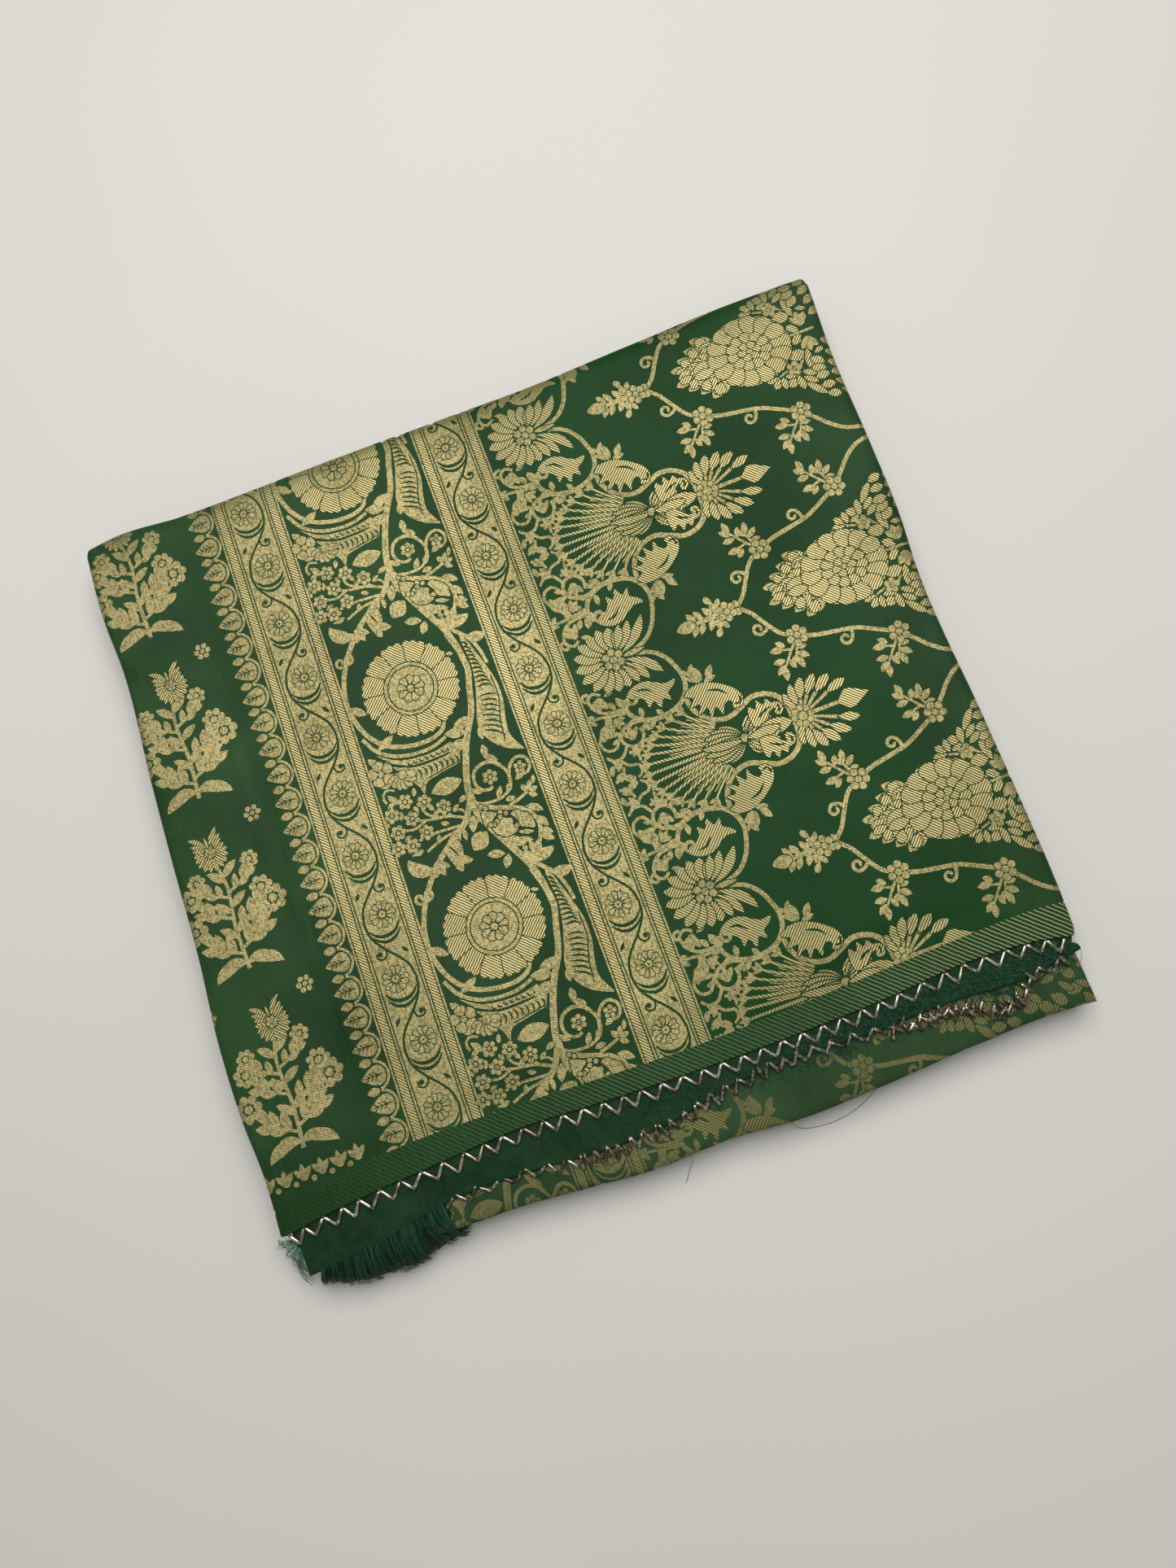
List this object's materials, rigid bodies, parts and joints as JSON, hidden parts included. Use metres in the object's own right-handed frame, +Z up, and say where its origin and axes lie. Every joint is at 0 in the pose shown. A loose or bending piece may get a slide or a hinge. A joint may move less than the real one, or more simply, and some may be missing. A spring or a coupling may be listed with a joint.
{
  "type": "folded sari",
  "caption": "Brocade sari folded into a flat square packet, with a rolled top fold, a beaded selvedge, a second layer and a fringed corner.",
  "frame": {"origin": "middle of the packet's footprint, on the surface it lies on", "axes": "+X along the selvedges, from the fringed corner; +Y from the selvedges to the top fold; +Z up, from the underside to the face"},
  "size_m": [0.3356, 0.316, 0.02],
  "materials": {
    "brocade_face": "silk satin with woven metallic thread",
    "wrong_side": "silk satin, wrong side",
    "brocade_fold": "silk satin with woven metallic thread",
    "hidden_folds": "silk satin",
    "fringe_thread": "loose silk thread",
    "tuft_thread": "loose silk thread"
  },
  "bodies": {
    "root": {"top_panel": "brocade_face", "second_layer": "wrong_side", "bottom_fold": "brocade_fold", "hidden_layers": "hidden_folds", "fringe": "fringe_thread", "corner_tuft": "tuft_thread"}
  },
  "joints": []
}
